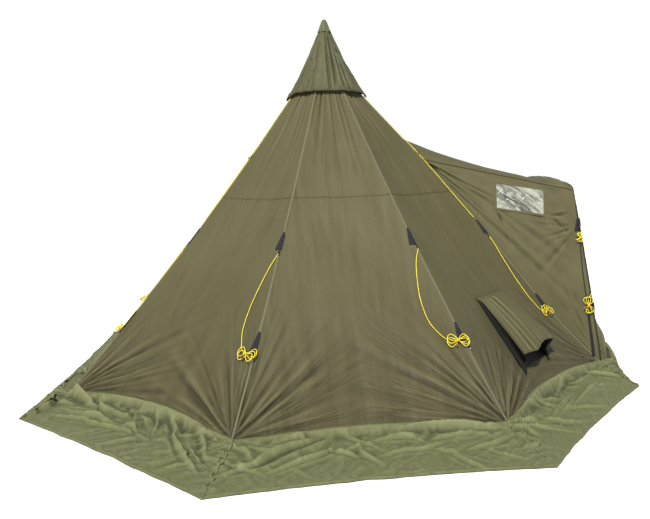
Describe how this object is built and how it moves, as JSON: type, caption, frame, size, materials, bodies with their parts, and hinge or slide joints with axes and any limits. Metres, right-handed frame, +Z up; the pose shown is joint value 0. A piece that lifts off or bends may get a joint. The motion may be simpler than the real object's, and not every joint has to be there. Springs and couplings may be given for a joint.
{
  "type": "tipi tent",
  "caption": "Tipi tent on a telescoping centre pole, with a porch on a bent pole, clear side windows, a lifting vent hood, a snow skirt, low vent awnings and tied-up guy cords.",
  "frame": {"origin": "on the ground at the middle of the centre pole's foot", "axes": "+Z up along the centre pole, +X out through the door, +Y to the left of someone facing out of the door"},
  "size_m": [4.9401, 5.6598, 2.935],
  "materials": {
    "canopy_cloth": "thin olive tent cloth, matt with a faint sheen",
    "skirt_cloth": "light olive skirt cloth, matt, crumpled",
    "hood_cloth": "olive hood cloth, matt",
    "tip_cloth": "light olive cap cloth",
    "seam_tape": "dark olive binding tape with black patches",
    "black_webbing": "black webbing",
    "insect_net": "black insect net",
    "clear_pane": "clear soft PVC",
    "alloy_tube": "plain drawn tube",
    "moulded_plastic": "black moulding",
    "foot_rubber": "black rubber",
    "guy_cord": "bright yellow braided cord",
    "zip_metal": "dull zip slider"
  },
  "bodies": {
    "tent": {"canopy_panel_1": "canopy_cloth", "canopy_panel_2": "canopy_cloth", "canopy_panel_3": "canopy_cloth", "canopy_panel_5": "canopy_cloth", "canopy_panel_6": "canopy_cloth", "canopy_panel_7": "canopy_cloth", "canopy_panel_8": "canopy_cloth", "canopy_door_gable": "canopy_cloth", "ridge_tape_1": "seam_tape", "ridge_tape_2": "seam_tape", "ridge_tape_3": "seam_tape", "ridge_tape_4": "seam_tape", "ridge_tape_5": "seam_tape", "ridge_tape_6": "seam_tape", "ridge_tape_7": "seam_tape", "ridge_tape_8": "seam_tape", "snow_skirt_1": "skirt_cloth", "snow_skirt_2": "skirt_cloth", "snow_skirt_3": "skirt_cloth", "snow_skirt_5": "skirt_cloth", "snow_skirt_6": "skirt_cloth", "snow_skirt_7": "skirt_cloth", "snow_skirt_8": "skirt_cloth", "door_skirt": "skirt_cloth", "porch_roof": "canopy_cloth", "porch_side_near": "canopy_cloth", "porch_side_far": "canopy_cloth", "porch_front_wall": "canopy_cloth", "window_near": "clear_pane", "window_far": "clear_pane", "vent_net_near": "insect_net", "vent_net_far": "insect_net", "top_strap_crown": "black_webbing", "pole_foot": "foot_rubber", "pole_lower_tube": "alloy_tube", "arch_pole_near": "alloy_tube", "arch_pole_far": "alloy_tube", "guy_cord_1": "guy_cord", "guy_cord_2": "guy_cord", "guy_cord_3": "guy_cord", "guy_cord_4": "guy_cord", "guy_cord_5": "guy_cord", "guy_cord_6": "guy_cord", "guy_cord_7": "guy_cord", "guy_cord_8": "guy_cord", "porch_cord_near": "guy_cord", "porch_cord_far": "guy_cord", "hood_cord_1": "guy_cord", "hood_cord_4": "guy_cord", "hood_cord_5": "guy_cord", "hood_cord_8": "guy_cord"},
    "hood": {"vent_hood": "hood_cloth", "hood_tip": "tip_cloth"},
    "vent_awning_near": {"vent_awning_near": "canopy_cloth"},
    "vent_awning_far": {"vent_awning_far": "canopy_cloth"},
    "door": {"door_panel": "canopy_cloth"},
    "zip_slider": {"door_zip_slider": "zip_metal"},
    "pole_upper": {"pole_upper_tube": "alloy_tube", "pole_top_cap": "moulded_plastic"},
    "pole_clamp": {"pole_twist_clamp": "moulded_plastic"}
  },
  "joints": [
    {"name": "hood_lift", "type": "slide", "parent": "tent", "child": "hood", "axis": [0, 0, 1], "range_m": [0, 0.1]},
    {"name": "vent_awning_near_hinge", "type": "hinge", "parent": "tent", "child": "vent_awning_near", "pos_m": [1.1077, -1.09921, 0.67875], "axis": [0.7071, 0.7071, 0], "range_deg": [0, 11]},
    {"name": "vent_awning_far_hinge", "type": "hinge", "parent": "tent", "child": "vent_awning_far", "pos_m": [1.1077, 1.09921, 0.67875], "axis": [-0.7071, 0.7071, 0], "range_deg": [0, 11]},
    {"name": "door_hinge", "type": "hinge", "parent": "tent", "child": "door", "pos_m": [2.1215, 0.458, 0.05], "axis": [-0.0698, 0, 0.9976], "range_deg": [0, 105]},
    {"name": "door_zip_slide", "type": "slide", "parent": "tent", "child": "zip_slider", "axis": [-0.0698, 0, 0.9976], "range_m": [0, 0.85]},
    {"name": "centre_pole_slide", "type": "slide", "parent": "tent", "child": "pole_upper", "axis": [0, 0, -1], "range_m": [0, 0.35]},
    {"name": "pole_clamp_twist", "type": "hinge", "parent": "tent", "child": "pole_clamp", "pos_m": [0, 0, 1.5], "axis": [0, 0, 1], "range_deg": [0, 90]}
  ]
}
